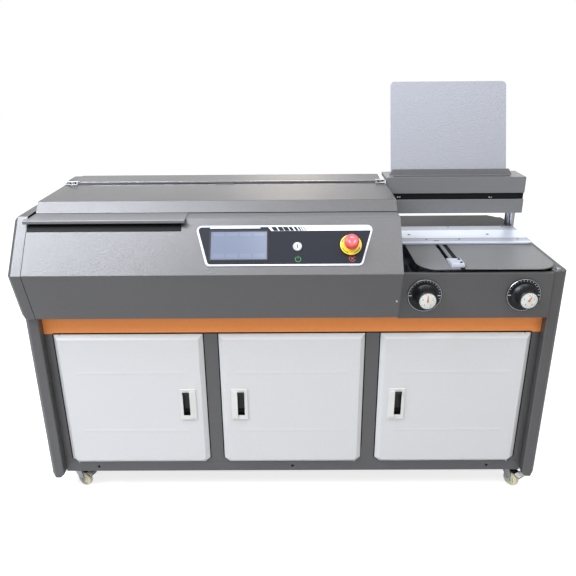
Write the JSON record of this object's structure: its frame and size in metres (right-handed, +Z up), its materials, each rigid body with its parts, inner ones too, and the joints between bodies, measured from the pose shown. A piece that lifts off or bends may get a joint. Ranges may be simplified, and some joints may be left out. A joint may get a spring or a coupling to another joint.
{
  "type": "perfect binding machine",
  "caption": "Floor-standing glue binder for books: cabinet on casters with three doors, sloping casing with touch panel, sliding clamp carriage, cover table and two dial knobs",
  "frame": {"origin": "on the floor under the middle of the machine", "axes": "+X right, +Y back, +Z up"},
  "size_m": [1.545, 0.65, 1.2434],
  "materials": {
    "casing_paint": "textured dark grey powder coat",
    "door_paint": "light grey powder coat",
    "band_paint": "orange powder coat",
    "plate_aluminium": "milled aluminium",
    "bright_steel": "ground steel",
    "zinc_steel": "zinc-plated pressed steel",
    "black_plastic": "moulded black plastic",
    "white_plastic": "moulded off-white plastic",
    "red_plastic": "glossy red plastic",
    "panel_film": "printed polyester film",
    "screen_glass": "glass over a dark display",
    "wheel_rubber": "cream polyurethane",
    "motor_paint": "black stove enamel",
    "tank_cast": "cast aluminium"
  },
  "bodies": {
    "cabinet": {"corner_posts": "casing_paint", "side_and_back_panels": "casing_paint", "base_pan": "casing_paint", "machine_deck": "plate_aluminium", "front_frame": "casing_paint", "orange_band": "band_paint", "left_end_cap": "casing_paint", "body_front_cover": "casing_paint", "front_ledge": "casing_paint", "rear_cover": "casing_paint", "body_end_wall": "casing_paint", "hinge_pins": "bright_steel", "control_panel": "panel_film", "touch_screen": "screen_glass", "control_bezels": "black_plastic", "knob_panel": "casing_paint", "cover_table": "casing_paint", "nip_bed": "plate_aluminium", "rear_table": "casing_paint", "guide_shafts": "bright_steel", "shaft_supports": "bright_steel", "motors": "motor_paint", "glue_tank": "tank_cast", "dust_hood": "zinc_steel", "control_box": "casing_paint", "panel_screws": "bright_steel", "caster_plates": "zinc_steel"},
    "left_door": {"left_door": "door_paint", "left_door_pull": "white_plastic"},
    "middle_door": {"middle_door": "door_paint", "middle_door_pull": "white_plastic"},
    "right_door": {"right_door": "door_paint", "right_door_pull": "white_plastic"},
    "lid": {"lid": "casing_paint"},
    "carriage": {"carriage_housing": "casing_paint", "front_jaw": "casing_paint", "paper_rest": "casing_paint", "carriage_bearings": "plate_aluminium"},
    "clamp_jaw": {"clamp_jaw": "plate_aluminium"},
    "nip_jaw": {"nip_jaw": "plate_aluminium", "cover_guide": "plate_aluminium"},
    "cover_stop": {"cover_stop": "plate_aluminium"},
    "cover_knob": {"cover_knob": "black_plastic"},
    "nip_knob": {"nip_knob": "black_plastic"},
    "stop_button": {"stop_button": "red_plastic"},
    "key_switch": {"key_switch": "bright_steel"},
    "milling_cutter": {"milling_cutter": "bright_steel"},
    "glue_roller": {"glue_roller": "bright_steel"},
    "doctor_roller": {"doctor_roller": "bright_steel"},
    "carriage_screw": {"carriage_screw": "bright_steel"},
    "front_left_fork": {"front_left_fork": "zinc_steel"},
    "front_left_wheel": {"front_left_wheel": "wheel_rubber"},
    "front_left_pedal": {"front_left_pedal": "black_plastic"},
    "front_right_fork": {"front_right_fork": "zinc_steel"},
    "front_right_wheel": {"front_right_wheel": "wheel_rubber"},
    "front_right_pedal": {"front_right_pedal": "zinc_steel"},
    "rear_left_fork": {"rear_left_fork": "zinc_steel"},
    "rear_left_wheel": {"rear_left_wheel": "wheel_rubber"},
    "rear_right_fork": {"rear_right_fork": "zinc_steel"},
    "rear_right_wheel": {"rear_right_wheel": "wheel_rubber"}
  },
  "joints": [
    {"name": "left_door_hinge", "type": "hinge", "parent": "cabinet", "child": "left_door", "pos_m": [-0.687, -0.24, 0.34], "axis": [0, 0, -1], "range_deg": [0, 95]},
    {"name": "middle_door_hinge", "type": "hinge", "parent": "cabinet", "child": "middle_door", "pos_m": [0.19875, -0.24, 0.34], "axis": [0, 0, 1], "range_deg": [0, 95]},
    {"name": "right_door_hinge", "type": "hinge", "parent": "cabinet", "child": "right_door", "pos_m": [0.687, -0.24, 0.34], "axis": [0, 0, 1], "range_deg": [0, 95]},
    {"name": "lid_hinge", "type": "hinge", "parent": "cabinet", "child": "lid", "pos_m": [-0.2135, 0.094, 0.938], "axis": [-1, 0, 0], "range_deg": [0, 75]},
    {"name": "carriage_slide", "type": "slide", "parent": "cabinet", "child": "carriage", "axis": [-1, 0, 0], "range_m": [0, 0.98]},
    {"name": "clamp_slide", "type": "slide", "parent": "carriage", "child": "clamp_jaw", "axis": [0, -1, 0], "range_m": [0, 0.029]},
    {"name": "nip_knob_turn", "type": "hinge", "parent": "cabinet", "child": "nip_knob", "pos_m": [0.654, -0.24, 0.698], "axis": [0, -1, 0], "range_deg": [0, 2880]},
    {"name": "nip_jaw_slide", "type": "slide", "parent": "cabinet", "child": "nip_jaw", "axis": [0, -1, 0], "range_m": [0, 0.04]},
    {"name": "cover_knob_turn", "type": "hinge", "parent": "cabinet", "child": "cover_knob", "pos_m": [0.3755, -0.24, 0.698], "axis": [0, -1, 0], "range_deg": [0, 6480]},
    {"name": "cover_stop_slide", "type": "slide", "parent": "cabinet", "child": "cover_stop", "axis": [0, 1, 0], "range_m": [0, 0.09]},
    {"name": "stop_button_push", "type": "slide", "parent": "cabinet", "child": "stop_button", "axis": [0, 0.7869, -0.617], "range_m": [0, 0.006], "stiffness_N_per_m": 600},
    {"name": "key_turn", "type": "hinge", "parent": "cabinet", "child": "key_switch", "pos_m": [0.0175, -0.27502, 0.84374], "axis": [0, 0.7869, -0.617], "range_deg": [0, 90]},
    {"name": "cutter_spin", "type": "hinge", "parent": "cabinet", "child": "milling_cutter", "pos_m": [0.14, 0.125, 0.8], "axis": [0, 0, 1], "continuous": true},
    {"name": "glue_roller_spin", "type": "hinge", "parent": "cabinet", "child": "glue_roller", "pos_m": [-0.18, 0.125, 0.786], "axis": [0, 1, 0], "continuous": true},
    {"name": "doctor_roller_spin", "type": "hinge", "parent": "cabinet", "child": "doctor_roller", "pos_m": [-0.26, 0.125, 0.786], "axis": [0, 1, 0], "continuous": true},
    {"name": "screw_spin", "type": "hinge", "parent": "cabinet", "child": "carriage_screw", "pos_m": [0, 0.1935, 0.88], "axis": [-1, 0, 0], "range_deg": [0, 8821]},
    {"name": "front_left_swivel", "type": "hinge", "parent": "cabinet", "child": "front_left_fork", "pos_m": [-0.708, -0.2, 0.07], "axis": [0, 0, 1], "continuous": true},
    {"name": "front_left_roll", "type": "hinge", "parent": "front_left_fork", "child": "front_left_wheel", "pos_m": [-0.68806, -0.2093, 0.025], "axis": [0.4226, 0.9063, 0], "continuous": true},
    {"name": "front_left_brake", "type": "hinge", "parent": "front_left_fork", "child": "front_left_pedal", "pos_m": [-0.69531, -0.20592, 0.0575], "axis": [-0.4226, -0.9063, 0], "range_deg": [0, 20]},
    {"name": "front_right_swivel", "type": "hinge", "parent": "cabinet", "child": "front_right_fork", "pos_m": [0.708, -0.2, 0.07], "axis": [0, 0, 1], "continuous": true},
    {"name": "front_right_roll", "type": "hinge", "parent": "front_right_fork", "child": "front_right_wheel", "pos_m": [0.72062, -0.21802, 0.025], "axis": [0.8192, 0.5736, 0], "continuous": true},
    {"name": "front_right_brake", "type": "hinge", "parent": "front_right_fork", "child": "front_right_pedal", "pos_m": [0.71603, -0.21147, 0.0575], "axis": [-0.8192, -0.5736, 0], "range_deg": [0, 20]},
    {"name": "rear_left_swivel", "type": "hinge", "parent": "cabinet", "child": "rear_left_fork", "pos_m": [-0.708, 0.253, 0.07], "axis": [0, 0, 1], "continuous": true},
    {"name": "rear_left_roll", "type": "hinge", "parent": "rear_left_fork", "child": "rear_left_wheel", "pos_m": [-0.68733, 0.26052, 0.025], "axis": [-0.342, 0.9397, 0], "continuous": true},
    {"name": "rear_right_swivel", "type": "hinge", "parent": "cabinet", "child": "rear_right_fork", "pos_m": [0.708, 0.253, 0.07], "axis": [0, 0, 1], "continuous": true},
    {"name": "rear_right_roll", "type": "hinge", "parent": "rear_right_fork", "child": "rear_right_wheel", "pos_m": [0.68895, 0.264, 0.025], "axis": [-0.5, -0.866, 0], "continuous": true}
  ],
  "couplings": [
    {"joint": "nip_knob_turn", "follows": "nip_jaw_slide", "rad_per_m": 1256.6},
    {"joint": "cover_knob_turn", "follows": "cover_stop_slide", "rad_per_m": 1256.6},
    {"joint": "doctor_roller_spin", "follows": "glue_roller_spin", "ratio": -1},
    {"joint": "screw_spin", "follows": "carriage_slide", "rad_per_m": 157.08}
  ]
}
